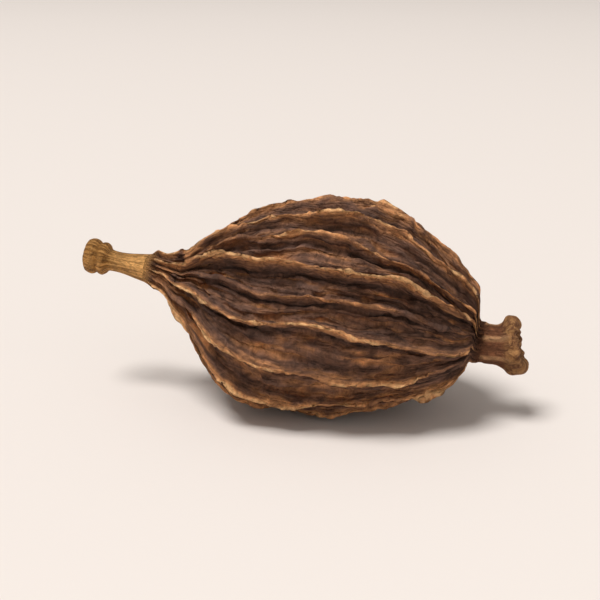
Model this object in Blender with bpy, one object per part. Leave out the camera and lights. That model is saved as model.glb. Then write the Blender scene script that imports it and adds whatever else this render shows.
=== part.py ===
"""Black cardamom pod: one dried capsule with its stalk and its calyx, lying on its belly.

Metres, +Z up. The pod lies along X, its stalk towards -X and its calyx towards +X, and the floor
is Z = 0. The origin is the middle of the underside of the pod's box.
"""

import math
import random

import bmesh
import bpy
from mathutils import Matrix, Vector

MM = 0.001

# Driving dimensions
HUSK_LENGTH = 33.8 * MM
HUSK_RADIUS = 10.0 * MM
STALK_LENGTH = 7.5 * MM
STALK_RADIUS = 0.85 * MM
CALYX_LENGTH = 4.2 * MM
NECK_RADIUS = 1.80 * MM

# The husk: where it is widest, as a share of its length, and how it departs from a round, straight form
WIDEST = 0.54
STALK_SIDE_POWER = 2.4
CALYX_SIDE_POWERS = (1.9, 0.57)
# How much thinner the husk is near the stalk: share of its radius, share of its length, and how wide
STALK_TAPER = (0.12, 0.13, 0.10)
SHOULDER_RADIUS = 1.55 * MM
SHOULDER_BLEND = 0.9 * MM
# How far the husk's end draws in round the calyx
NECK_DIMPLE = 0.6 * MM
BELLY_DROP = 0.9 * MM
SAG = 0.55 * MM
# Where its middle lies higher or lower again: (share of its length, how wide, height)
LIFTS = (
    (0.10, 0.03, -0.35 * MM),
    (0.14, 0.09, 0.35 * MM),
    (0.735, 0.05, 0.25 * MM),
    (0.78, 0.14, -0.40 * MM),
    (0.965, 0.04, 0.25 * MM),
)
# The calyx leaves the husk below the middle of its end, and bends up
CALYX_DROP = 0.75 * MM
CALYX_LIFT = 0.75 * MM
CALYX_RIBS = 6
CALYX_RIB_HEIGHT = 0.10 * MM
LOBES = 3
LOBE_DEPTH = 0.3 * MM
BULGE_HEIGHT = 0.25 * MM
STALK_BEND = 0.6 * MM

# The ridges: (angle at mid length, height, depth of the valley after it, share of the length where it
# starts and ends). Angle 0 is the front, -Y, and 90 degrees is the top
RIDGES = (
    (6, 0.95 * MM, 0.50 * MM, 0.00, 1.00),
    (25, 0.55 * MM, 0.95 * MM, 0.30, 0.80),
    (42, 1.20 * MM, 0.45 * MM, 0.00, 1.00),
    (56, 0.65 * MM, 0.50 * MM, 0.12, 1.00),
    (73, 0.95 * MM, 0.40 * MM, 0.00, 1.00),
    (92, 0.65 * MM, 0.45 * MM, 0.00, 0.86),
    (112, 0.78 * MM, 0.50 * MM, 0.00, 1.00),
    (131, 0.55 * MM, 0.45 * MM, 0.20, 1.00),
    (150, 0.95 * MM, 0.70 * MM, 0.00, 1.00),
    (171, 0.65 * MM, 0.45 * MM, 0.00, 0.80),
    (190, 1.05 * MM, 0.50 * MM, 0.00, 1.00),
    (211, 0.60 * MM, 0.80 * MM, 0.15, 1.00),
    (233, 0.95 * MM, 0.45 * MM, 0.00, 1.00),
    (260, 0.80 * MM, 0.40 * MM, 0.00, 1.00),
    (280, 0.80 * MM, 0.45 * MM, 0.00, 1.00),
    (303, 0.65 * MM, 0.60 * MM, 0.10, 0.90),
    (322, 1.00 * MM, 0.50 * MM, 0.00, 1.00),
    (343, 0.85 * MM, 0.60 * MM, 0.10, 0.92),
)
RIDGE_SEED = 11
RIDGE_TWIST = 22
RIDGE_WANDER = 3.0
RIDGE_FADE = 0.12
# The ridges rise between these two radii of the husk
RELIEF_FROM = 0.6 * MM
RELIEF_FULL = 4.6 * MM
# Widths across the pod, as shares of the way from one crest to the next
CREST_SHARE = 0.10
FOLD_SHARE = 0.14
FOLD_HEIGHT = 0.42 * MM
# Shares of the way from one crest to the next where the mesh has its columns
COLUMNS = (0.0, 0.09, 0.22, 0.50, 0.78, 0.91)

# Rows of withered bract stumps round the husk's end: (place, width, how many, turn, height)
COLLARS = (
    (0.3 * MM, 0.4 * MM, 7, 1.57, 0.32 * MM),
    (2.7 * MM, 0.5 * MM, 5, -1.57, 0.42 * MM),
)

# Turned outlines of the ends, as shares: (length from the husk, radius)
STALK_OUTLINE = (
    (1.000, 0.00),
    (1.000, 0.80),
    (0.985, 1.55),
    (0.940, 2.02),
    (0.880, 2.12),
    (0.800, 1.82),
    (0.740, 1.95),
    (0.690, 1.85),
    (0.645, 1.42),
    (0.590, 1.23),
    (0.400, 1.27),
    (0.250, 1.46),
    (0.110, 1.66),
)
CALYX_OUTLINE = (
    (0.26, 1.04),
    (0.52, 1.04),
    (0.645, 1.12),
    (0.72, 1.29),
    (0.84, 1.39),
    (0.94, 1.33),
    (0.99, 1.12),
    (0.95, 0.90),
    (0.84, 0.79),
    (0.60, 0.70),
    (0.38, 0.54),
    (0.28, 0.00),
)
# Middle of the calyx's rolled rim, and how much thicker the rim is at its lobes
RIM_MIDDLE = (0.84, 1.08)
LOBE_GROWTH = 0.55

HUSK_RINGS = 28

# How it lies
TILT = math.radians(8.2)
REST_CUT = 0.70 * MM
FLOOR_BLOCK = 60 * MM


def smooth_step(low, high, x):
    """0 below low, 1 above high, and a smooth rise between them."""
    share = min(max((x - low) / (high - low), 0.0), 1.0)
    return share * share * (3 - 2 * share)


def soft_max(a, b, blend):
    """The larger of two radii, rounded over where they meet."""
    return 0.5 * (a + b + math.hypot(a - b, blend))


def husk_radius(share):
    """Outline of the husk: a drawn-out cone towards the stalk, a round end towards the calyx."""
    if share < WIDEST:
        depth, middle, width = STALK_TAPER
        body = 1 - ((WIDEST - share) / WIDEST) ** STALK_SIDE_POWER
        body -= depth * math.exp(-(((share - middle) / width) ** 2))
        end = SHOULDER_RADIUS
    else:
        inner, outer = CALYX_SIDE_POWERS
        body = max(0.0, 1 - ((share - WIDEST) / (1 - WIDEST)) ** inner) ** outer
        end = NECK_RADIUS
    return soft_max(HUSK_RADIUS * body, end, SHOULDER_BLEND)


def rings():
    """(place along X from the husk's stalk end, radius, share of the husk's length, calyx share)."""
    found = []
    for along, radius in STALK_OUTLINE:
        found.append((-along * STALK_LENGTH, radius * STALK_RADIUS, 0.0, 0.0))
    for i in range(HUSK_RINGS + 1):
        # The rings stand closer together towards both ends, where the outline turns fastest
        even = i / HUSK_RINGS
        share = even - 0.11 * math.sin(2 * math.pi * even) / math.pi
        found.append((share * HUSK_LENGTH, husk_radius(share), share, 0.0))
    for along, radius in CALYX_OUTLINE:
        place = HUSK_LENGTH + along * CALYX_LENGTH
        found.append((place, radius * NECK_RADIUS, 1.0, along))
    return found


def ridge_waves():
    """For each ridge, the phases of its wandering, of its height and of the fold beside it."""
    draw = random.Random(RIDGE_SEED)
    return [[draw.uniform(0, 2 * math.pi) for _ in range(6)] for _ in RIDGES]


def crest_angle(ridge, wave, share):
    """Where a ridge's crest stands round the pod, in radians."""
    base = ridge[0] - RIDGE_TWIST * (share - 0.5)
    ends = math.sin(math.pi * share)
    slow = math.sin(2 * math.pi * 1.3 * share + wave[0])
    quick = math.sin(2 * math.pi * 3.1 * share + wave[1])
    return math.radians(base + RIDGE_WANDER * ends * (slow + 0.4 * quick))


def crest_height(ridge, wave, share, relief):
    """How far a ridge stands up here: it dies out at its own ends and where the pod is thin."""
    _, height, _, start, end = ridge
    rise = 1.0 if start == 0 else smooth_step(start, start + RIDGE_FADE, share)
    fall = 1.0 if end == 1 else 1 - smooth_step(end - RIDGE_FADE, end, share)
    change = 1 + 0.28 * math.sin(2 * math.pi * 2.2 * share + wave[2])
    change += 0.16 * math.sin(2 * math.pi * 5.3 * share + wave[3])
    return height * rise * fall * change * relief


def relief_share(place, radius, calyx):
    """The ridges stand lower where the husk is thin, and end at the stalk and at the calyx."""
    on_husk = smooth_step(-0.6 * MM, 0.8 * MM, place) * (1 - smooth_step(0.0, 0.25, calyx))
    return on_husk * smooth_step(RELIEF_FROM, RELIEF_FULL, radius)


def fold_height(wave, share, relief):
    """The husk between two ridges is wrinkled up in some places and sunk in others."""
    change = math.sin(2 * math.pi * 1.7 * share + wave[4]) + 0.6 * math.sin(wave[5])
    return FOLD_HEIGHT * change * relief


def unevenness(angle, share, relief):
    """The three seed chambers show as broad lobes, and the husk has dried a little out of round."""
    lobes = LOBE_DEPTH * math.cos(LOBES * (angle - math.pi / 2))
    bulge = BULGE_HEIGHT * math.sin(2 * angle + 7 * share + 1)
    return (lobes + bulge) * relief


def collar(place, angle):
    """Height of the withered stumps round the husk's stalk end."""
    total = 0.0
    for at, width, count, turn, height in COLLARS:
        stump = max(0.0, math.cos(count * angle + turn)) * (0.7 + 0.3 * math.sin(angle))
        total += height * stump * math.exp(-(((place - at) / width) ** 2))
    return total


def calyx_lobe(angle):
    """A thick lobe of the rim above and below, a slighter one front and back, and all uneven."""
    from_top = angle - math.pi / 2
    lobe = 0.55 * math.cos(2 * from_top) + 0.35 * math.cos(4 * from_top) - 0.15 * math.sin(angle)
    return lobe + 0.15 * math.cos(7 * angle + 4)


def calyx_rib(angle, calyx):
    """Slight ribs along the calyx tube and over its rim."""
    along = smooth_step(0.0, 0.15, calyx) * (1 - smooth_step(0.72, 0.90, calyx))
    return CALYX_RIB_HEIGHT * along * math.cos(CALYX_RIBS * (angle - 0.6))


def middle_height(share, calyx):
    """How far the middle of a ring lies above the pod's straight line."""
    height = -BELLY_DROP * math.sin(2 * math.pi * share) - SAG * math.sin(math.pi * share)
    height += sum(lift * math.exp(-(((share - at) / width) ** 2)) for at, width, lift in LIFTS)
    return height - CALYX_DROP * smooth_step(0.975, 1.0, share) + CALYX_LIFT * calyx ** 2


def ring_points(ring, waves):
    """The points of one ring, starting at the first crest, in the pod's own straight frame."""
    place, radius, share, calyx = ring
    middle = middle_height(share, calyx)
    slope = 2 * CALYX_LIFT * calyx / CALYX_LENGTH
    bend = STALK_BEND * min(0.0, place / STALK_LENGTH) ** 2
    drawn_in = NECK_DIMPLE * smooth_step(0.95, 1.0, share)
    rim_place = HUSK_LENGTH + RIM_MIDDLE[0] * CALYX_LENGTH
    rim_radius = RIM_MIDDLE[1] * NECK_RADIUS
    relief = relief_share(place, radius, calyx)
    points = []
    for i, (ridge, wave) in enumerate(zip(RIDGES, waves)):
        following = (i + 1) % len(RIDGES)
        here = crest_angle(ridge, wave, share)
        there = crest_angle(RIDGES[following], waves[following], share)
        there += 2 * math.pi * (following == 0)
        low = crest_height(ridge, wave, share, relief)
        high = crest_height(RIDGES[following], waves[following], share, relief)
        for column in COLUMNS:
            angle = here + (there - here) * column
            crest = low * math.exp(-((column / CREST_SHARE) ** 2))
            crest += high * math.exp(-(((1 - column) / CREST_SHARE) ** 2))
            valley = ridge[2] * 4 * column * (1 - column) * relief
            across = math.exp(-(((column - 0.5) / FOLD_SHARE) ** 2))
            height = crest - valley + across * fold_height(wave, share, relief)
            height += unevenness(angle, share, relief) + collar(place, angle) + calyx_rib(angle, calyx)
            growth = LOBE_GROWTH * smooth_step(0.56, 0.70, calyx) * calyx_lobe(angle)
            out = radius + height + (radius - rim_radius) * growth if radius > 0 else 0.0
            along = place - drawn_in + (place - rim_place) * growth - slope * out * math.sin(angle)
            points.append((along, bend - out * math.cos(angle), middle + out * math.sin(angle)))
    return points


def loft(name, sections):
    """One closed mesh through the sections, the first and the last of which close on the axis."""
    form = bmesh.new()
    loops = [[form.verts.new(point) for point in section] for section in sections]
    count = len(sections[0])
    for lower, upper in zip(loops, loops[1:]):
        for i in range(count):
            j = (i + 1) % count
            form.faces.new((lower[i], lower[j], upper[j], upper[i]))
    bmesh.ops.remove_doubles(form, verts=form.verts, dist=0.002 * MM)
    bmesh.ops.recalc_face_normals(form, faces=form.faces)
    mesh = bpy.data.meshes.new(name)
    form.to_mesh(mesh)
    form.free()
    mesh.shade_smooth()
    return bpy.data.objects.new(name, mesh)


def lay_down(pod):
    """Tips the calyx end down and sets the pod so that its rest spot will be at Z = 0."""
    mesh = pod.data
    mesh.transform(Matrix.Rotation(TILT, 4, "Y"))
    low = Vector(min(v.co[i] for v in mesh.vertices) for i in range(3))
    high = Vector(max(v.co[i] for v in mesh.vertices) for i in range(3))
    middle = (low + high) / 2
    mesh.transform(Matrix.Translation((-middle.x, -middle.y, -low.z - REST_CUT)))


def press_flat(pod, cutters):
    """Takes off the husk below the floor, which leaves the small flat spot that it rests on."""
    form = bmesh.new()
    bmesh.ops.create_cube(form, size=FLOOR_BLOCK)
    mesh = bpy.data.meshes.new("floor_block")
    form.to_mesh(mesh)
    form.free()
    block = bpy.data.objects.new("floor_block", mesh)
    block.location.z = -FLOOR_BLOCK / 2
    block.hide_render = True
    block.display_type = "WIRE"
    cutters.objects.link(block)
    cut = pod.modifiers.new("rest spot", "BOOLEAN")
    cut.operation = "DIFFERENCE"
    cut.object = block


def husk_material():
    """Dried, fibrous capsule wall: dark brown and matte."""
    material = bpy.data.materials.new("dried_husk")
    material.use_nodes = True
    shader = material.node_tree.nodes["Principled BSDF"]
    shader.inputs["Base Color"].default_value = (0.123, 0.058, 0.032, 1.0)
    shader.inputs["Roughness"].default_value = 0.72
    shader.inputs["Metallic"].default_value = 0.0
    return material


def new_collection(name):
    collection = bpy.data.collections.new(name)
    bpy.context.scene.collection.children.link(collection)
    return collection


def main():
    for obj in list(bpy.data.objects):
        bpy.data.objects.remove(obj)
    parts = new_collection("black_cardamom_pod")
    cutters = new_collection("cutters")
    waves = ridge_waves()
    pod = loft("cardamom_pod", [ring_points(ring, waves) for ring in rings()])
    pod.data.materials.append(husk_material())
    parts.objects.link(pod)
    lay_down(pod)
    press_flat(pod, cutters)


main()
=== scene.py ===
import math
import random

import bpy
from mathutils import Matrix, Vector


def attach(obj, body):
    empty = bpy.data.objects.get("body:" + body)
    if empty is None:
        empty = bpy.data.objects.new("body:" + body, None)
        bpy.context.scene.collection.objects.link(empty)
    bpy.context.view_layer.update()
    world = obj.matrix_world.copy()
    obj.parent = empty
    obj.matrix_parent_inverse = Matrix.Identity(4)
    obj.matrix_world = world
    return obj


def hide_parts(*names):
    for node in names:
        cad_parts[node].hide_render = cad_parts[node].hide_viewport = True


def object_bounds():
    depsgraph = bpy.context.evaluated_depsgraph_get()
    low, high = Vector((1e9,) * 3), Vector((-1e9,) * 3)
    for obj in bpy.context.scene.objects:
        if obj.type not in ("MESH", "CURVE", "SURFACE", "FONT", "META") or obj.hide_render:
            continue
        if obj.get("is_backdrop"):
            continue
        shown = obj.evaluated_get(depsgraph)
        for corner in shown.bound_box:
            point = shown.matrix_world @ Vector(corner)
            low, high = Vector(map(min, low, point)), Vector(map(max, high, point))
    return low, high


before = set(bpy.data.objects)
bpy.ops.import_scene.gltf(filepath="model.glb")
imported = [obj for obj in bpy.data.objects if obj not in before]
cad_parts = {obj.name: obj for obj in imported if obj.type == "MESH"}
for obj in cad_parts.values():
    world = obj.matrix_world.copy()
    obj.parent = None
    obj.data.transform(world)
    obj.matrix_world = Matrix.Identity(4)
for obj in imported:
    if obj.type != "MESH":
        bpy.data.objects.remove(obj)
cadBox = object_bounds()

mm = 0.001
scene = bpy.context.scene


def linearColour(hexText):
    # The linear colour of an sRGB one in hexadecimal
    found = []
    for start in (0, 2, 4):
        value = int(hexText[start:start + 2], 16) / 255
        found.append(value / 12.92 if value <= 0.04045 else ((value + 0.055) / 1.055) ** 2.4)
    return (*found, 1.0)


def addNode(tree, kind, inputs=None, **settings):
    # Inputs go by name or number; each is a value, a socket, or a node whose first output is linked
    node = tree.nodes.new(kind)
    for name, value in settings.items():
        setattr(node, name, value)
    for name, value in (inputs or {}).items():
        if isinstance(value, bpy.types.Node):
            value = value.outputs[0]
        if isinstance(value, bpy.types.NodeSocket):
            tree.links.new(value, node.inputs[name])
        else:
            node.inputs[name].default_value = value
    return node


def smoothStep(low, high, x):
    # 0 up to low, 1 from high on, and a smooth rise between them
    share = min(max((x - low) / (high - low), 0.0), 1.0)
    return share * share * (3 - 2 * share)


def within(limits, x):
    # Rises smoothly between the first two limits and falls again between the last two
    start, full, last, end = limits
    return smoothStep(start, full, x) * (1 - smoothStep(last, end, x))


def hump(x, middle, width):
    # 1 in the middle, falling off smoothly to both sides
    return math.exp(-(((x - middle) / width) ** 2))


# The pod's form, in millimetres: the solid's capsule with more rings, more columns and finer relief
podForm = {
    "huskLength": 33.8,
    "huskRadius": 10.0,
    "widest": 0.54,           # share of the husk's length
    "stalkSidePower": 2.4,
    "stalkTaper": (0.12, 0.13, 0.10),  # thinner near the stalk: by what share, where, over what width
    "calyxSidePowers": (1.9, 0.57),
    "shoulderRadius": 1.55,
    "shoulderBlend": 0.9,
    "bellyDrop": 0.9,
    "sag": 0.55,
    "lifts": (                # where it lies higher or lower again: (share of the length, how wide, height)
        (0.10, 0.03, -0.35),
        (0.14, 0.09, 0.35),
        (0.735, 0.05, 0.25),
        (0.78, 0.14, -0.40),
        (0.965, 0.04, 0.25),
    ),
    "calyxDrop": 0.75,        # the calyx leaves the husk below the middle of its end
    "calyxDropFrom": 0.975,   # share of the husk's length where that starts
    "calyxLift": 0.75,        # and it bends up
    "calyxRibs": 6,
    "calyxRibHeight": 0.10,
    "calyxRibTurn": 0.6,
    "calyxRibRange": (0.0, 0.15, 0.72, 0.90),  # shares of its length where ribs start, are full, fall, end
    "chambers": 3,            # the seed chambers, which swell the husk
    "chamberDepth": 0.3,
    "bulges": (0.25, 2, 7, 1),  # swollen sides: height, how many, turn along the husk and at its start
    "stalkLength": 7.5,
    "stalkRadius": 0.85,
    "stalkBend": 0.6,
    "calyxLength": 4.2,
    "neckRadius": 1.80,
    "neckDimple": 0.6,        # how far the husk's end draws in round the calyx
    "neckDimpleFrom": 0.95,   # share of the husk's length where that starts
    "tilt": 8.2,              # degrees, calyx end down
    "axisHeight": 12.86,      # of the junction with the stalk, above the floor
    "ridges": (
        # angle at mid length, height, valley after it, share of the length from and to
        (6, 0.95, 0.50, 0.00, 1.00),
        (25, 0.55, 0.95, 0.30, 0.80),
        (42, 1.20, 0.45, 0.00, 1.00),
        (56, 0.65, 0.50, 0.12, 1.00),
        (73, 0.95, 0.40, 0.00, 1.00),
        (92, 0.65, 0.45, 0.00, 0.86),
        (112, 0.78, 0.50, 0.00, 1.00),
        (131, 0.55, 0.45, 0.20, 1.00),
        (150, 0.95, 0.70, 0.00, 1.00),
        (171, 0.65, 0.45, 0.00, 0.80),
        (190, 1.05, 0.50, 0.00, 1.00),
        (211, 0.60, 0.80, 0.15, 1.00),
        (233, 0.95, 0.45, 0.00, 1.00),
        (260, 0.80, 0.40, 0.00, 1.00),
        (280, 0.80, 0.45, 0.00, 1.00),
        (303, 0.65, 0.60, 0.10, 0.90),
        (322, 1.00, 0.50, 0.00, 1.00),
        (343, 0.85, 0.60, 0.10, 0.92),
    ),
    "ridgeSeed": 11,
    "ridgeTwist": 22,         # degrees over the husk's length
    "ridgeWander": 3.0,       # degrees
    "wanderWaves": (1.3, 3.1, 0.4),  # slow and quick waves over the length, how strong the quick ones are
    "heightWaves": ((2.2, 0.28), (5.3, 0.16)),  # a crest is higher and lower by turns: how often, how much
    "ridgeFade": 0.12,        # share of the length over which a ridge that starts or ends on the husk fades
    "reliefStarts": (-0.6, 0.8),  # places along the pod between which the relief comes up
    "reliefEnds": (0.0, 0.25),  # shares of the calyx's length between which it is gone again
    "reliefFrom": (-0.5, 0.6),  # the ridges rise from this radius of the husk, at its stalk and its calyx
    "reliefFull": 4.6,        # and have their full height from this one on
    "crestShare": 0.085,      # how wide a crest is, as a share of the way to the next
    "crestBody": 0.78,        # share of its height that a crest has without the thin edge along its top
    "edgeShare": 0.045,       # how wide that edge is
    "edgeHeight": 0.24,
    "grooveShare": (0.18, 0.06),  # a groove beside each crest: how far from it, and how wide
    "grooveDepths": (0.5, 0.22),  # on the side that faces the floor, and on the other
    "foldShare": 0.14,        # a fold along the middle of each valley: how wide
    "foldHeight": 0.42,
    "foldWaves": (1.7, 0.6),  # how often it changes over the length, and how much from valley to valley
    "collars": (              # rows of withered stumps: (place, width, how many, turn, height)
        (0.3, 0.4, 7, 1.57, 0.32),
        (2.7, 0.4, 5, -1.57, 0.50),
    ),
    "collarAside": 0.3,       # how much lower they are at the sides than on top
    "rimMiddle": (0.84, 1.08),  # middle of the calyx's rolled rim: share of its length and of its radius
    "rimRange": (0.56, 0.70),  # shares of the calyx's length between which the rim comes up
    "lobeGrowth": 0.55,       # how much thicker the rim is at its lobes
    "lobeBack": 0.3,          # how much of that growth goes back along the tube
    "lobeWaves": ((2, 0.55), (4, 0.35)),  # lobes round the rim, from the top: how many, how strong
    "lobeBelow": 0.15,        # how much thicker the rim is below than at the sides
    "rimFlutes": ((7, 4, 0.15), (11, 1, 0.18), (19, 2, 0.15)),  # small ones: how many, turn, how strong
    "lobeFlare": 0.30,        # how far the tube has widened before the lobes
    "flareRange": (0.40, 0.64, 0.64, 0.84),  # shares of its length, as for the ribs
    "knobFrom": (0.56, 0.64),  # shares of the stalk's length between which its darker knob comes up
    "knobWaist": (0.785, 0.03),  # the darkest ring round the knob: where, how wide
    "huskRings": 144,
    "ringCrowding": 0.11,     # how strongly they crowd towards both ends
    "ringsPerStep": 2,        # between two points of the stalk's or the calyx's outline
    "columnsPerRidge": 25,
    "columnCrowding": 0.07,   # how strongly the columns crowd beside a crest
    "reliefReach": 1.5,       # how much farther out a higher point is cut from the pattern
    "endReach": 2.4,          # radius at which the two ends are cut from the pattern; the husk's is its own
    "stalkLook": (-0.8, 0.6),  # places between which the stalk's look turns into the husk's
    "calyxLook": (-0.4, 0.6),  # and the husk's into the calyx's, from the husk's end
    "wallLook": (-0.2, 1.2, 0.97),  # the wall's fine relief: places where it comes up, share where it fades
    "shadeAndWearShares": (0.3, 3.4, 0.3, 1.2),  # how much crest, edge, fold and groove count in the colour's level: crests and edges painted lighter, as wear and painted highlight; valleys and grooves darker, as painted shade
    "toneLeast": 0.3,         # where the relief fades, the level takes it as no lower than this share
    "tonePale": (0.45, 2, 7),  # how much higher the level is by the stalk, to which place, and until where
    "toneStump": 2.2,         # how much lower it is on a stump 1 mm high
}
stalkOutline = (  # (share of the stalk's length from the husk, share of its radius)
    (1.000, 0.80), (0.992, 1.45), (0.960, 1.95), (0.905, 2.12), (0.850, 2.08), (0.810, 1.86),
    (0.790, 1.80), (0.755, 1.93), (0.715, 1.96), (0.680, 1.80), (0.650, 1.44), (0.600, 1.24),
    (0.470, 1.22), (0.350, 1.32), (0.220, 1.50), (0.100, 1.68),
)
calyxOutline = (  # the same for the calyx and its neck, out along the tube and back down its mouth
    (0.12, 1.06), (0.30, 1.04), (0.46, 1.03), (0.56, 1.05), (0.63, 1.12), (0.69, 1.24),
    (0.76, 1.35), (0.84, 1.39), (0.92, 1.36), (0.975, 1.22), (0.99, 1.06), (0.96, 0.92),
    (0.90, 0.83), (0.78, 0.77), (0.62, 0.70), (0.46, 0.58), (0.34, 0.36),
)


def softMax(a, b, blend):
    return 0.5 * (a + b + math.hypot(a - b, blend))


def huskRadius(share):
    widest = podForm["widest"]
    if share < widest:
        depth, middle, width = podForm["stalkTaper"]
        body = 1 - ((widest - share) / widest) ** podForm["stalkSidePower"]
        body -= depth * hump(share, middle, width)
        end = podForm["shoulderRadius"]
    else:
        inner, outer = podForm["calyxSidePowers"]
        body = max(0.0, 1 - ((share - widest) / (1 - widest)) ** inner) ** outer
        end = podForm["neckRadius"]
    return softMax(podForm["huskRadius"] * body, end, podForm["shoulderBlend"])


def reliefShare(place, radius, calyx):
    # The ridges stand lower where the husk is thin, and end at the stalk and at the calyx
    onHusk = smoothStep(*podForm["reliefStarts"], place) * (1 - smoothStep(*podForm["reliefEnds"], calyx))
    fromRadius = podForm["reliefFrom"][place > podForm["huskLength"] / 2]
    return onHusk * smoothStep(fromRadius, podForm["reliefFull"], radius)


def refined(points, steps):
    # A smooth curve through the points, with so many steps from each to the next
    found = []
    for i in range(len(points) - 1):
        before, here = points[max(i - 1, 0)], points[i]
        there, after = points[i + 1], points[min(i + 2, len(points) - 1)]
        for step in range(steps):
            t = step / steps
            found.append(tuple(
                0.5 * (2 * h + (n - b) * t + (2 * b - 5 * h + 4 * n - a) * t * t
                       + (3 * h - b - 3 * n + a) * t ** 3)
                for b, h, n, a in zip(before, here, there, after)
            ))
    return found + [points[-1]]


def podRings():
    # (place along the pod, radius, share of the husk's length, share of the calyx's)
    shoulder = (0.0, huskRadius(0.0) / podForm["stalkRadius"])
    neck = (0.0, huskRadius(1.0) / podForm["neckRadius"])
    found = []
    for along, radius in refined((*stalkOutline, shoulder), podForm["ringsPerStep"])[:-1]:
        found.append((-along * podForm["stalkLength"], radius * podForm["stalkRadius"], 0.0, 0.0))
    for i in range(podForm["huskRings"] + 1):
        even = i / podForm["huskRings"]
        share = even - podForm["ringCrowding"] * math.sin(2 * math.pi * even) / math.pi
        found.append((share * podForm["huskLength"], huskRadius(share), share, 0.0))
    for along, radius in refined((neck, *calyxOutline), podForm["ringsPerStep"])[1:]:
        place = podForm["huskLength"] + along * podForm["calyxLength"]
        found.append((place, radius * podForm["neckRadius"], 1.0, along))
    return found


def crestAngle(ridge, wave, share):
    slowWaves, quickWaves, quickShare = podForm["wanderWaves"]
    base = ridge[0] - podForm["ridgeTwist"] * (share - 0.5)
    slow = math.sin(2 * math.pi * slowWaves * share + wave[0])
    quick = math.sin(2 * math.pi * quickWaves * share + wave[1])
    wander = podForm["ridgeWander"] * math.sin(math.pi * share) * (slow + quickShare * quick)
    return math.radians(base + wander)


def crestHeight(ridge, wave, share, low):
    _, height, _, start, end = ridge
    fade = podForm["ridgeFade"]
    rise = 1.0 if start == 0 else smoothStep(start, start + fade, share)
    fall = 1.0 if end == 1 else 1 - smoothStep(end - fade, end, share)
    change = 1.0
    for (waves, amount), phase in zip(podForm["heightWaves"], wave[2:4]):
        change += amount * math.sin(2 * math.pi * waves * share + phase)
    return height * rise * fall * change * low


def collarHeight(place, angle):
    aside = podForm["collarAside"]
    total = 0.0
    for at, width, count, turn, height in podForm["collars"]:
        stump = max(0.0, math.cos(count * angle + turn)) * (1 - aside + aside * math.sin(angle))
        total += height * stump * hump(place, at, width)
    return total


def calyxLobe(angle):
    # A thick lobe above and below, a slighter one at the front and the back, and all of them uneven
    fromTop = angle - math.pi / 2
    lobe = sum(strength * math.cos(count * fromTop) for count, strength in podForm["lobeWaves"])
    lobe -= podForm["lobeBelow"] * math.sin(angle)
    for count, turn, strength in podForm["rimFlutes"]:
        lobe += strength * math.cos(count * angle + turn)
    return lobe


def calyxRib(angle, calyx):
    along = within(podForm["calyxRibRange"], calyx)
    return along * math.cos(podForm["calyxRibs"] * (angle - podForm["calyxRibTurn"]))


def middleHeight(share, calyx):
    height = -podForm["bellyDrop"] * math.sin(2 * math.pi * share)
    height -= podForm["sag"] * math.sin(math.pi * share)
    height += sum(lift * hump(share, at, width) for at, width, lift in podForm["lifts"])
    height -= podForm["calyxDrop"] * smoothStep(podForm["calyxDropFrom"], 1.0, share)
    return height + podForm["calyxLift"] * calyx ** 2


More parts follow.
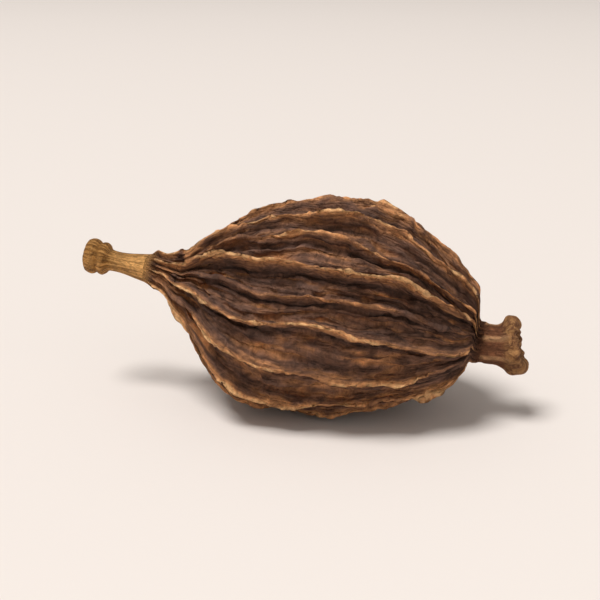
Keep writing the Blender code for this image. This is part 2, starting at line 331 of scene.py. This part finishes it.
def podPoints():
    # Every ring's points, with what the relief and the finish read from them
    draw = random.Random(podForm["ridgeSeed"])
    ridges = podForm["ridges"]
    waves = [[draw.uniform(0, 2 * math.pi) for _ in range(6)] for _ in ridges]
    count, perRidge = len(ridges), podForm["columnsPerRidge"]
    columns = []
    for step in range(perRidge):
        even = step / perRidge
        columns.append(even - podForm["columnCrowding"] * math.sin(2 * math.pi * even))
    huskLength, stalkLength = podForm["huskLength"], podForm["stalkLength"]
    rimPlace = huskLength + podForm["rimMiddle"][0] * podForm["calyxLength"]
    rimRadius = podForm["rimMiddle"][1] * podForm["neckRadius"]
    deep, slight = podForm["grooveDepths"]
    foldWaves, foldUneven = podForm["foldWaves"]
    bulgeHeight, bulges, bulgeTwist, bulgeTurn = podForm["bulges"]
    calyxFrom, calyxFull = podForm["calyxLook"]
    wallFrom, wallFull, wallFade = podForm["wallLook"]
    crestWearAndHighlight, edgeWearAndHighlight, foldAndValleyShade, grooveShadow = podForm["shadeAndWearShares"]
    pale, paleFrom, paleEnd = podForm["tonePale"]

    found = []
    for place, radius, share, calyx in podRings():
        # What a whole ring shares
        middle = middleHeight(share, calyx)
        slope = 2 * podForm["calyxLift"] * calyx / podForm["calyxLength"]
        rim = smoothStep(*podForm["rimRange"], calyx)
        flare = podForm["lobeFlare"] * within(podForm["flareRange"], calyx)
        spread = (place - rimPlace) * (podForm["lobeBack"] if place < rimPlace else 1.0)
        bend = podForm["stalkBend"] * min(0.0, place / stalkLength) ** 2
        low = reliefShare(place, radius, calyx)
        back = -place / stalkLength
        knob = 0.5 * smoothStep(*podForm["knobFrom"], back) + 0.5 * hump(back, *podForm["knobWaist"])
        drawnIn = podForm["neckDimple"] * smoothStep(podForm["neckDimpleFrom"], 1.0, share)
        stalk = 1 - smoothStep(*podForm["stalkLook"], place)
        inCalyx = smoothStep(huskLength + calyxFrom, huskLength + calyxFull, place)
        wall = low * smoothStep(wallFrom, wallFull, place) * (1 - smoothStep(wallFade, 1.0, share))
        paler = pale * (1 - smoothStep(paleFrom, paleEnd, place))
        angles = [crestAngle(r, w, share) for r, w in zip(ridges, waves)]
        heights = [crestHeight(r, w, share, low) for r, w in zip(ridges, waves)]

        for i, (ridge, wave) in enumerate(zip(ridges, waves)):
            after = (i + 1) % count
            there = angles[after] + 2 * math.pi * (after == 0)
            folding = math.sin(2 * math.pi * foldWaves * share + wave[4]) + foldUneven * math.sin(wave[5])
            for column in columns:
                # The wall's relief on the way from this crest to the next
                angle = angles[i] + (there - angles[i]) * column
                near, far, nearEdge, farEdge = (
                    hump(gap, 0.0, width)
                    for width in (podForm["crestShare"], podForm["edgeShare"])
                    for gap in (column, 1 - column)
                )
                facing = 0.5 + 0.5 * math.cos(angle)
                groove = low * sum(
                    (slight + (deep - slight) * side) * hump(gap, *podForm["grooveShare"])
                    for gap, side in ((column, 1 - facing), (1 - column, facing))
                )
                edge = podForm["edgeHeight"] * (heights[i] * nearEdge + heights[after] * farEdge)
                crest = podForm["crestBody"] * (heights[i] * near + heights[after] * far)
                valley = ridge[2] * 4 * column * (1 - column) * low
                fold = hump(column, 0.5, podForm["foldShare"]) * podForm["foldHeight"] * folding * low
                relief = crest + edge - valley + fold - groove
                swelling = podForm["chamberDepth"] * math.cos(podForm["chambers"] * (angle - math.pi / 2))
                relief += swelling * low
                relief += bulgeHeight * math.sin(bulges * angle + bulgeTwist * share + bulgeTurn) * low

                # The stumps, the calyx and its rim
                rib = calyxRib(angle, calyx)
                stump = collarHeight(place, angle)
                relief += stump + podForm["calyxRibHeight"] * rib
                lobe = calyxLobe(angle)
                growth = podForm["lobeGrowth"] * rim * lobe
                out = radius + relief + (radius - rimRadius) * growth + flare * max(lobe, 0.0)
                along = place - drawnIn + spread * growth - slope * out * math.sin(angle)

                # Where the point lies in the pattern, and how light it is painted: lighter on crests and
                # edges as wear and painted highlight, darker in valleys and grooves as painted shade
                turn = 2 * math.pi * (i + column) / count
                reach = podForm["huskRadius"] + podForm["reliefReach"] * relief
                reach += (podForm["endReach"] - reach) * max(stalk, inCalyx)
                toneAndShade = crestWearAndHighlight * crest + edgeWearAndHighlight * edge + foldAndValleyShade * (fold - valley)
                toneAndShade = (toneAndShade - grooveShadow * groove) / max(low, podForm["toneLeast"])
                toneAndShade += paler - podForm["toneStump"] * stump
                found.append({
                    "point": (along, bend - out * math.cos(angle), middle + out * math.sin(angle)),
                    "grain": (reach * math.cos(turn), reach * math.sin(turn), place),
                    "ridge": crest + edge,
                    "toneAndShade": toneAndShade,
                    "knob": knob,
                    "husk": wall,
                    "calyx": inCalyx,
                    "stalk": stalk,
                    "rim": rim,
                    "rib": rib,
                })
    return found, count * perRidge


def ringFaces(ringCount, around):
    # Quads from ring to ring, and a fan to a point at either end
    faces = []
    for ring in range(ringCount - 1):
        for i in range(around):
            j = (i + 1) % around
            here, above = ring * around, (ring + 1) * around
            faces.append((here + i, here + j, above + j, above + i))
    first, last = ringCount * around, ringCount * around + 1
    top = (ringCount - 1) * around
    for i in range(around):
        j = (i + 1) % around
        faces.append((first, j, i))
        faces.append((last, top + i, top + j))
    return faces


def poleOf(ring):
    # The middle of an end ring, which closes it
    middle = {"point": tuple(sum(p["point"][k] for p in ring) / len(ring) for k in range(3))}
    for name, value in ring[0].items():
        if name != "point":
            middle[name] = (0.0, 0.0, value[2]) if name == "grain" else value
    return middle


def podMesh():
    points, around = podPoints()
    ringCount = len(points) // around
    points += [poleOf(points[:around]), poleOf(points[-around:])]
    mesh = bpy.data.meshes.new("podForm")
    mesh.from_pydata([Vector(p["point"]) * mm for p in points], [], ringFaces(ringCount, around))
    for name in points[0]:
        if name == "point":
            continue
        kind = "FLOAT_VECTOR" if name == "grain" else "FLOAT"
        layer = mesh.attributes.new(name, kind, "POINT")
        if kind == "FLOAT":
            layer.data.foreach_set("value", [p[name] for p in points])
        else:
            layer.data.foreach_set("vector", [x for p in points for x in p[name]])
    mesh.update()
    return mesh


def layDown(mesh):
    # Tipped as the solid is, centred on its box seen from above, and lifted to its height above the floor
    mesh.transform(Matrix.Rotation(math.radians(podForm["tilt"]), 4, "Y"))
    low = Vector(min(v.co[i] for v in mesh.vertices) for i in range(3))
    high = Vector(max(v.co[i] for v in mesh.vertices) for i in range(3))
    cadLow, cadHigh = cadBox
    move = (cadLow + cadHigh) / 2 - (low + high) / 2
    move.z = podForm["axisHeight"] * mm
    mesh.transform(Matrix.Translation(move))


# Fine relief of the dried wall: each layer's height, its spacing round and along the pod, in millimetres
huskRelief = {
    "Sway height": 0.24, "Sway spacing": 3.6, "Sway length": 4.2,           # everything wanders sideways
    "Crinkle height": 0.12, "Crinkle spacing": 1.1, "Crinkle length": 1.0,  # and the same again, smaller
    "Rib height": 0.30, "Rib spacing": 2.2, "Rib length": 12.0,             # side ribs between the ridges
    "Vein height": 0.28, "Vein spacing": 1.2, "Vein length": 8.0,           # finer ones everywhere
    "Gap height": 0.25, "Gap spacing": 2.4, "Gap length": 2.2,              # breaks in the crests
    "Chip height": 0.12, "Chip spacing": 0.9, "Chip length": 0.8,           # notches and knobs on them
    "Knot height": 0.20, "Knot spacing": 1.3, "Knot length": 1.8,           # small knobs here and there
    "Dent height": 0.24, "Dent spacing": 1.6, "Dent length": 2.8,           # and small hollows
    "Wrinkle height": 0.09, "Wrinkle spacing": 1.7, "Wrinkle length": 3.0,
    "Strand height": 0.09, "Strand spacing": 0.55, "Strand length": 3.5,
    "Seed": 4,
}


def huskReliefTree():
    tree = bpy.data.node_groups.new("huskRelief", "GeometryNodeTree")
    tree.interface.new_socket("Geometry", in_out="INPUT", socket_type="NodeSocketGeometry")
    for name, value in huskRelief.items():
        kind = "NodeSocketInt" if name == "Seed" else "NodeSocketFloat"
        tree.interface.new_socket(name, in_out="INPUT", socket_type=kind).default_value = value
    tree.interface.new_socket("Material", in_out="INPUT", socket_type="NodeSocketMaterial")
    tree.interface.new_socket("Geometry", in_out="OUTPUT", socket_type="NodeSocketGeometry")
    given = addNode(tree, "NodeGroupInput").outputs
    grain = addNode(tree, "GeometryNodeInputNamedAttribute", {"Name": "grain"}, data_type="FLOAT_VECTOR")
    # The tone read here holds the relief's painted highlight and painted shade, along with the wear
    ridge, toneAndShade, husk = (
        addNode(tree, "GeometryNodeInputNamedAttribute", {"Name": name}, data_type="FLOAT")
        for name in ("ridge", "toneAndShade", "husk")
    )
    onCrest = addNode(tree, "ShaderNodeMapRange", {"Value": ridge, "From Min": 0.0, "From Max": 0.7})
    offCrest = addNode(tree, "ShaderNodeMapRange",
                       {"Value": ridge, "From Min": 0.05, "From Max": 0.5, "To Min": 1.0, "To Max": 0.2})
    betweenCrests = addNode(tree, "ShaderNodeMath", {0: offCrest, 1: husk}, operation="MULTIPLY")
    nearlyAll = addNode(tree, "ShaderNodeMapRange", {"Value": husk, "To Min": 0.35, "To Max": 1.0})
    places = {"Sway": husk, "Crinkle": husk, "Rib": betweenCrests, "Vein": husk, "Gap": onCrest,
              "Chip": onCrest, "Knot": betweenCrests, "Dent": betweenCrests, "Wrinkle": husk,
              "Strand": nearlyAll}
    noiseGain = 4.0           # brings the noise, about a quarter to each side of its middle, up to one
    reliefShadeGain = 1.4           # how much more the fine relief counts in the colour than in height: raised bits painted lighter and hollows darker, as painted light and shade

    outward, sideways = None, None
    for layer, where in places.items():
        spacing = addNode(tree, "ShaderNodeCombineXYZ",
                          {0: given[layer + " spacing"], 1: given[layer + " spacing"],
                           2: given[layer + " length"]})
        place = addNode(tree, "ShaderNodeVectorMath", {0: grain, 1: spacing}, operation="DIVIDE")
        noise = addNode(tree, "ShaderNodeTexNoise",
                        {"Vector": place, "W": given["Seed"], "Scale": 1.0, "Detail": 1.5},
                        noise_dimensions="4D")
        height = addNode(tree, "ShaderNodeMath", {0: given[layer + " height"], 1: where},
                         operation="MULTIPLY")
        if layer in ("Sway", "Crinkle"):
            centred = addNode(tree, "ShaderNodeVectorMath", {0: noise.outputs[1], 1: (0.5, 0.5, 0.5)},
                              operation="SUBTRACT")
            reach = addNode(tree, "ShaderNodeMath", {0: height, 1: noiseGain}, operation="MULTIPLY")
            step = addNode(tree, "ShaderNodeVectorMath", {0: centred, "Scale": reach}, operation="SCALE")
            sideways = step if sideways is None else addNode(
                tree, "ShaderNodeVectorMath", {0: sideways, 1: step}, operation="ADD")
            continue
        centred = addNode(tree, "ShaderNodeMath", {0: noise, 1: 0.5}, operation="SUBTRACT")
        if layer in ("Rib", "Vein"):
            # The lines where the noise crosses its middle value part and join again, as the ribs do
            away = addNode(tree, "ShaderNodeMath", {0: centred}, operation="ABSOLUTE")
            value = addNode(tree, "ShaderNodeMapRange",
                            {"Value": away, "From Min": 0.0, "From Max": 0.075,
                             "To Min": 0.85, "To Max": -0.15},
                            interpolation_type="SMOOTHERSTEP")
        elif layer in ("Gap", "Knot", "Dent"):
            value = addNode(tree, "ShaderNodeMapRange",
                            {"Value": noise, "From Min": 0.56, "From Max": 0.66, "To Min": 0.0,
                             "To Max": 1.0 if layer == "Knot" else -1.0},
                            interpolation_type="SMOOTHSTEP")
        else:
            value = addNode(tree, "ShaderNodeMath", {0: centred, 1: noiseGain}, operation="MULTIPLY")
        step = addNode(tree, "ShaderNodeMath", {0: value, 1: height}, operation="MULTIPLY")
        outward = step if outward is None else addNode(
            tree, "ShaderNodeMath", {0: outward, 1: step}, operation="ADD")

    # The level is what the finish colours by; it carries the relief's painted light and shade along with
    # the wear
    level = addNode(tree, "ShaderNodeMath", {0: outward, 1: reliefShadeGain, 2: toneAndShade}, operation="MULTIPLY_ADD")
    kept = addNode(tree, "GeometryNodeStoreNamedAttribute",
                   {"Geometry": given["Geometry"], "Name": "level", "Value": level},
                   data_type="FLOAT", domain="POINT")
    normal = addNode(tree, "GeometryNodeInputNormal")
    outwardStep = addNode(tree, "ShaderNodeVectorMath", {0: normal, "Scale": outward}, operation="SCALE")
    both = addNode(tree, "ShaderNodeVectorMath", {0: outwardStep, 1: sideways}, operation="ADD")
    inMetres = addNode(tree, "ShaderNodeVectorMath", {0: both, "Scale": mm}, operation="SCALE")
    moved = addNode(tree, "GeometryNodeSetPosition", {"Geometry": kept, "Offset": inMetres})

    # What would lie below the floor is pressed flat
    place = addNode(tree, "GeometryNodeInputPosition")
    placeParts = addNode(tree, "ShaderNodeSeparateXYZ", {0: place})
    notBelow = addNode(tree, "ShaderNodeMath", {0: placeParts.outputs[2], 1: 0.0}, operation="MAXIMUM")
    onFloor = addNode(tree, "ShaderNodeCombineXYZ",
                      {0: placeParts.outputs[0], 1: placeParts.outputs[1], 2: notBelow})
    pressed = addNode(tree, "GeometryNodeSetPosition", {"Geometry": moved, "Position": onFloor})
    smooth = addNode(tree, "GeometryNodeSetShadeSmooth", {"Geometry": pressed})
    real = addNode(tree, "GeometryNodeRealizeInstances", {"Geometry": smooth})
    finished = addNode(tree, "GeometryNodeSetMaterial", {"Geometry": real, "Material": given["Material"]})
    addNode(tree, "NodeGroupOutput", {0: finished})
    return tree


def bake(obj, tree, values):
    # Runs the tree on the object and leaves its result as a plain mesh
    modifier = obj.modifiers.new(tree.name, "NODES")
    modifier.node_group = tree
    sockets = {s.name: s.identifier for s in tree.interface.items_tree if s.in_out == "INPUT"}
    for name, value in values.items():
        modifier[sockets[name]] = value
    graph = bpy.context.evaluated_depsgraph_get()
    mesh = bpy.data.meshes.new_from_object(obj.evaluated_get(graph), depsgraph=graph)
    obj.modifiers.remove(modifier)
    obj.data = mesh


# Finish of the dried wall, and its sizes in millimetres
huskFinish = {
    "levels": (  # (height above the wall, colour), from the deepest valley to the worn crests: the darkest stops are painted shade in the hollows, the palest wear with painted highlight on the crests
        (-0.80, "22120b"),
        (-0.40, "523628"),
        (0.00, "815b45"),
        (0.35, "a3714d"),
        (0.75, "d0905d"),
        (1.20, "eab47c"),
    ),
    "lowest": -1.0,           # ends of the colour ramp that holds them
    "highest": 1.4,
    "bloomAndSheen": "725548",
    "bloomAndSheenShare": 0.65,
    "bloomAndSheenSpacing": 1.6,
    "stalk": "d8a05e",
    "stalkDark": "97672f",
    "calyx": "75492f",
    # The calyx ribs' lighter colour is a painted highlight along them
    "calyxRib": "b0835c",
    "rim": "9a6f45",
    "streakSpacing": 0.45,
    "streakLength": 3.6,
    "streakLift": 0.5,        # how far streaks shift the colour up or down the levels
    "wearSpacing": 0.9,
    "wearLift": 0.22,
    "crestWear": 1.7,         # how much more the wear shifts it on a crest 1 mm high
    "fibreSpacing": 0.20,
    "fibreWidth": 0.12,       # as a share of a fibre's length
    "crinkleSpacing": 0.60,
    "crinkleShades": (0.64, 1.40),
    "crinkleBump": 2.5,       # how much more it counts in the bump than streaks and fibres
    "bumpDepth": 0.26,
    "roughness": 0.82,
    "wornRoughness": 0.52,
    "sheen": 0.25,            # how much of the plain reflection is left
}


def driedHusk():
    # Capsule wall, dried over smoke: matt, fibrous skin with a faint soft sheen, worn pale along the crests
    # with a painted highlight there, and painted shade darkening its valleys and grooves
    material = bpy.data.materials.new("driedHusk")
    material.use_nodes = True
    tree = material.node_tree
    tree.nodes.clear()
    grain = addNode(tree, "ShaderNodeAttribute", attribute_name="grain").outputs["Vector"]
    level, ridge, husk, stalk, knob, calyx, rim, rib = (
        addNode(tree, "ShaderNodeAttribute", attribute_name=name).outputs["Fac"]
        for name in ("level", "ridge", "husk", "stalk", "knob", "calyx", "rim", "rib")
    )

    # Streaks drawn out along the fibres, worn spots and slow patches
    streakScale = 1 / huskFinish["streakSpacing"]
    drawnOut = addNode(tree, "ShaderNodeMapping",
                       {"Vector": grain,
                        "Scale": (streakScale, streakScale, 1 / huskFinish["streakLength"])})
    streak = addNode(tree, "ShaderNodeTexNoise", {"Vector": drawnOut, "Scale": 1.0, "Detail": 3.0})
    wear = addNode(tree, "ShaderNodeTexNoise",
                   {"Vector": grain, "Scale": 1 / huskFinish["wearSpacing"], "Detail": 3.0})
    patch = addNode(tree, "ShaderNodeTexNoise",
                    {"Vector": grain, "Scale": 1 / huskFinish["bloomAndSheenSpacing"], "Detail": 4.0})
    crinkle = addNode(tree, "ShaderNodeTexNoise",
                      {"Vector": grain, "Scale": 1 / huskFinish["crinkleSpacing"], "Detail": 6.0,
                       "Roughness": 0.65, "Distortion": 0.6})

    streakMiddle = addNode(tree, "ShaderNodeMath", {0: streak.outputs[0], 1: 0.5}, operation="SUBTRACT")
    streakShift = addNode(tree, "ShaderNodeMath", {0: streakMiddle, 1: 2 * huskFinish["streakLift"]},
                          operation="MULTIPLY")
    wearMiddle = addNode(tree, "ShaderNodeMath", {0: wear.outputs[0], 1: 0.5}, operation="SUBTRACT")
    wearReach = addNode(tree, "ShaderNodeMath",
                        {0: ridge, 1: huskFinish["crestWear"], 2: 2 * huskFinish["wearLift"]},
                        operation="MULTIPLY_ADD")
    wearShift = addNode(tree, "ShaderNodeMath", {0: wearMiddle, 1: wearReach}, operation="MULTIPLY")
    shifted = addNode(tree, "ShaderNodeMath", {0: level, 1: streakShift}, operation="ADD")
    shifted = addNode(tree, "ShaderNodeMath", {0: shifted, 1: wearShift}, operation="ADD")
    low, high = huskFinish["lowest"], huskFinish["highest"]
    rampPlace = addNode(tree, "ShaderNodeMapRange", {"Value": shifted, "From Min": low, "From Max": high})
    ramp = addNode(tree, "ShaderNodeValToRGB", {"Fac": rampPlace})
    stops = ramp.color_ramp.elements
    while len(stops) < len(huskFinish["levels"]):
        stops.new(0.5)
    for stop, (height, colour) in zip(stops, huskFinish["levels"]):
        stop.position = (height - low) / (high - low)
        stop.color = linearColour(colour)

    # A greyish bloom lies in the hollows, in patches: partly dust, partly a painted cool sheen
    hollow = addNode(tree, "ShaderNodeMapRange",
                     {"Value": level, "From Min": -0.4, "From Max": 0.35, "To Min": 1.0, "To Max": 0.0})
    dustAndSheen = addNode(tree, "ShaderNodeMapRange",
                    {"Value": patch.outputs[0], "From Min": 0.40, "From Max": 0.58,
                     "To Max": huskFinish["bloomAndSheenShare"]})
    bloomAndSheenHere = addNode(tree, "ShaderNodeMath", {0: hollow, 1: dustAndSheen}, operation="MULTIPLY")
    bloomAndSheenHere = addNode(tree, "ShaderNodeMath", {0: bloomAndSheenHere, 1: husk}, operation="MULTIPLY")
    wall = addNode(tree, "ShaderNodeMix",
                   {0: bloomAndSheenHere, 6: ramp.outputs[0], 7: linearColour(huskFinish["bloomAndSheen"])},
                   data_type="RGBA")

    # The two ends are another, paler and smoother skin
    stalkLight = addNode(tree, "ShaderNodeMapRange",
                         {"Value": streak.outputs[0], "From Min": 0.3, "From Max": 0.6})
    offKnob = addNode(tree, "ShaderNodeMath", {0: stalkLight, 1: knob},
                      operation="SUBTRACT", use_clamp=True)
    stalkColour = addNode(tree, "ShaderNodeMix",
                          {0: offKnob, 6: linearColour(huskFinish["stalkDark"]),
                           7: linearColour(huskFinish["stalk"])}, data_type="RGBA")
    withStalk = addNode(tree, "ShaderNodeMix",
                        {0: stalk, 6: wall.outputs[2], 7: stalkColour.outputs[2]}, data_type="RGBA")
    # The calyx's ribs are painted lighter along their tops: a painted highlight
    ribHighlight = addNode(tree, "ShaderNodeMapRange", {"Value": rib, "From Min": 0.4, "From Max": 1.0})
    calyxColour = addNode(tree, "ShaderNodeMix",
                          {0: ribHighlight, 6: linearColour(huskFinish["calyx"]),
                           7: linearColour(huskFinish["calyxRib"])}, data_type="RGBA")
    withCalyx = addNode(tree, "ShaderNodeMix",
                        {0: calyx, 6: withStalk.outputs[2], 7: calyxColour.outputs[2]}, data_type="RGBA")
    rimPatch = addNode(tree, "ShaderNodeMapRange",
                       {"Value": crinkle, "From Min": 0.42, "From Max": 0.56, "To Min": 0.2, "To Max": 1.0})
    onRim = addNode(tree, "ShaderNodeMath", {0: rim, 1: rimPatch}, operation="MULTIPLY")
    withRim = addNode(tree, "ShaderNodeMix",
                      {0: onRim, 6: withCalyx.outputs[2], 7: linearColour(huskFinish["rim"])},
                      data_type="RGBA")

    # Streaks and crinkles darken and lighten everything, and stand out in the bump with the fibres
    streakShade = addNode(tree, "ShaderNodeMapRange",
                          {"Value": streak.outputs[0], "From Min": 0.3, "From Max": 0.7,
                           "To Min": 0.75, "To Max": 1.25})
    dark, light = huskFinish["crinkleShades"]
    crinkleShade = addNode(tree, "ShaderNodeMapRange",
                           {"Value": crinkle.outputs[0], "From Min": 0.35, "From Max": 0.65,
                            "To Min": dark, "To Max": light})
    bothShades = addNode(tree, "ShaderNodeMath", {0: streakShade, 1: crinkleShade}, operation="MULTIPLY")
    shaded = addNode(tree, "ShaderNodeVectorMath", {0: withRim.outputs[2], "Scale": bothShades},
                     operation="SCALE")
    fibreScale = 1 / huskFinish["fibreSpacing"]
    fibrePlace = addNode(tree, "ShaderNodeMapping",
                         {"Vector": grain,
                          "Scale": (fibreScale, fibreScale, fibreScale * huskFinish["fibreWidth"])})
    fibre = addNode(tree, "ShaderNodeTexNoise", {"Vector": fibrePlace, "Scale": 1.0, "Detail": 2.0})
    bumpHeight = addNode(tree, "ShaderNodeMath", {0: streak.outputs[0], 1: fibre.outputs[0]},
                         operation="ADD")
    bumpHeight = addNode(tree, "ShaderNodeMath",
                         {0: crinkle.outputs[0], 1: huskFinish["crinkleBump"], 2: bumpHeight},
                         operation="MULTIPLY_ADD")
    bump = addNode(tree, "ShaderNodeBump",
                   {"Height": bumpHeight, "Strength": 1.0, "Distance": huskFinish["bumpDepth"] * mm})
    roughness = addNode(tree, "ShaderNodeMapRange",
                        {"Value": shifted, "From Min": 0.2, "From Max": 1.0,
                         "To Min": huskFinish["roughness"], "To Max": huskFinish["wornRoughness"]})
    shader = addNode(tree, "ShaderNodeBsdfPrincipled",
                     {"Base Color": shaded, "Roughness": roughness, "Normal": bump,
                      "Specular IOR Level": huskFinish["sheen"]})
    addNode(tree, "ShaderNodeOutputMaterial", {"Surface": shader})
    return material


print("pod: form")
podPiece = bpy.data.objects.new("cardamomPod", podMesh())
scene.collection.objects.link(podPiece)
layDown(podPiece.data)
print("pod: relief")
bake(podPiece, huskReliefTree(), {**huskRelief, "Material": driedHusk()})
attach(podPiece, "root")
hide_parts("cardamom_pod")


# Floor, light and camera
studio = {
    "floorSize": 6.0,
    "floorColour": "e7ded7",
    "floorRoughness": 0.8,
    "worldColour": "f3eee9",
    "worldStrength": 0.38,
    "keySize": 1.4,
    "keyPower": 95.0,
    "keyPlace": (-0.85, -0.80, 3.05),
    "fillSize": 0.5,
    "fillPower": 0.35,
    "fillPlace": (0.35, -0.30, 0.18),
    "lightAim": (0, 0, 0.01),
    "azimuth": 12.0,
    "elevation": 17.0,
    "lens": 70.0,
    "podShare": 0.76,         # share of the frame's width that the pod takes
    "clipStart": 0.01,
}


def studioFloor():
    half = studio["floorSize"] / 2
    corners = [(-half, -half, 0), (half, -half, 0), (half, half, 0), (-half, half, 0)]
    mesh = bpy.data.meshes.new("studioFloor")
    mesh.from_pydata(corners, [], [(0, 1, 2, 3)])
    # Uncoated card, pale and matt: an even ground that throws a little warm light back
    material = bpy.data.materials.new("paleCard")
    material.use_nodes = True
    shader = material.node_tree.nodes["Principled BSDF"]
    shader.inputs["Base Color"].default_value = linearColour(studio["floorColour"])
    shader.inputs["Roughness"].default_value = studio["floorRoughness"]
    mesh.materials.append(material)
    floor = bpy.data.objects.new("studioFloor", mesh)
    scene.collection.objects.link(floor)
    floor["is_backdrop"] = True


def softBox(name, size, power, place):
    light = bpy.data.lights.new(name, "AREA")
    light.shape = "DISK"
    light.size = size
    light.energy = power
    lamp = bpy.data.objects.new(name, light)
    lamp.location = place
    beam = Vector(studio["lightAim"]) - Vector(place)
    lamp.rotation_euler = beam.to_track_quat("-Z", "Y").to_euler()
    scene.collection.objects.link(lamp)


def studioCamera():
    low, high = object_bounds()
    azimuth, elevation = math.radians(studio["azimuth"]), math.radians(studio["elevation"])
    back = Vector((math.sin(azimuth) * math.cos(elevation), -math.cos(azimuth) * math.cos(elevation),
                   math.sin(elevation)))
    data = bpy.data.cameras.new("studioCamera")
    data.lens = studio["lens"]
    width = (high.x - low.x) / studio["podShare"]
    distance = width * data.lens / data.sensor_width
    camera = bpy.data.objects.new("studioCamera", data)
    camera.location = (low + high) / 2 + back * distance
    camera.rotation_mode = "QUATERNION"
    camera.rotation_quaternion = (-back).to_track_quat("-Z", "Y")
    data.clip_start = studio["clipStart"]
    scene.collection.objects.link(camera)
    scene.camera = camera


def studioWorld():
    world = bpy.data.worlds.new("studioWorld")
    world.use_nodes = True
    background = world.node_tree.nodes["Background"]
    background.inputs["Color"].default_value = linearColour(studio["worldColour"])
    background.inputs["Strength"].default_value = studio["worldStrength"]
    scene.world = world


print("studio")
studioFloor()
softBox("keyLight", studio["keySize"], studio["keyPower"], studio["keyPlace"])
softBox("fillLight", studio["fillSize"], studio["fillPower"], studio["fillPlace"])
studioCamera()
studioWorld()
scene.view_settings.view_transform = "Standard"
